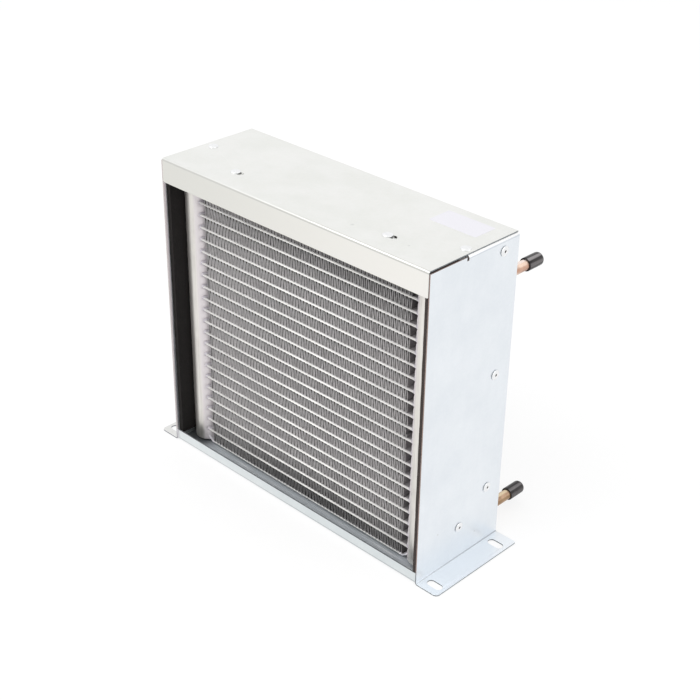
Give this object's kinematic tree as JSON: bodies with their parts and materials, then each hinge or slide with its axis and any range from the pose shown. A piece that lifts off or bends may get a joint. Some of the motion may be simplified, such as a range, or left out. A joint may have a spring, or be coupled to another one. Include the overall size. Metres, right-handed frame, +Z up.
{
  "type": "refrigeration condenser",
  "caption": "Air-cooled refrigeration condenser: an upright brazed flat-tube coil in a riveted sheet-metal casing with slotted feet, a fan shroud and capped copper stubs.",
  "frame": {"origin": "middle of the four slots in the feet, on the floor under the feet", "axes": "+X across the width, along the coil's tubes, towards the header with both stubs; +Y from the open coil face to the fan side, along the air's path; +Z up"},
  "size_m": [0.307, 0.1382, 0.2513],
  "materials": {
    "zinc_sheet": "bright zinc-coated sheet, satin",
    "cover_white": "warm white zinc-coated sheet, satin",
    "tray_sheet": "zinc-coated sheet, satin",
    "foam": "matte black closed-cell foam",
    "coil_tube": "brazed aluminium, satin",
    "coil_fin": "brazed aluminium strip, dull",
    "header_metal": "brazed aluminium, satin",
    "rivet": "bright",
    "copper": "soft-drawn copper, lightly oxidised",
    "cap_black": "black soft plastic, semi-gloss"
  },
  "bodies": {
    "condenser": {"side_panel_left": "zinc_sheet", "side_panel_right": "zinc_sheet", "top_cover": "cover_white", "base_tray": "tray_sheet", "fan_shroud": "tray_sheet", "side_lining_left": "foam", "side_lining_right": "foam", "flat_tubes": "coil_tube", "fins": "coil_fin", "header_left": "header_metal", "header_right": "header_metal", "header_plugs": "header_metal", "header_baffle": "header_metal", "header_pads": "foam", "coil_side_plate_bottom": "coil_tube", "coil_side_plate_top": "coil_tube", "coil_bracket_left": "tray_sheet", "coil_bracket_right": "tray_sheet", "side_rivets_left": "rivet", "side_rivets_right": "rivet", "cover_rivets": "rivet", "coil_rivets": "rivet", "inlet_stub": "copper", "outlet_stub": "copper", "stub_collars": "header_metal"},
    "inlet_cap": {"pipe_cap_inlet": "cap_black"},
    "outlet_cap": {"pipe_cap_outlet": "cap_black"}
  },
  "joints": [
    {"name": "inlet_cap_pull", "type": "slide", "parent": "condenser", "child": "inlet_cap", "axis": [0, 1, 0], "range_m": [0, 0.015]},
    {"name": "outlet_cap_pull", "type": "slide", "parent": "condenser", "child": "outlet_cap", "axis": [0, 1, 0], "range_m": [0, 0.015]}
  ]
}
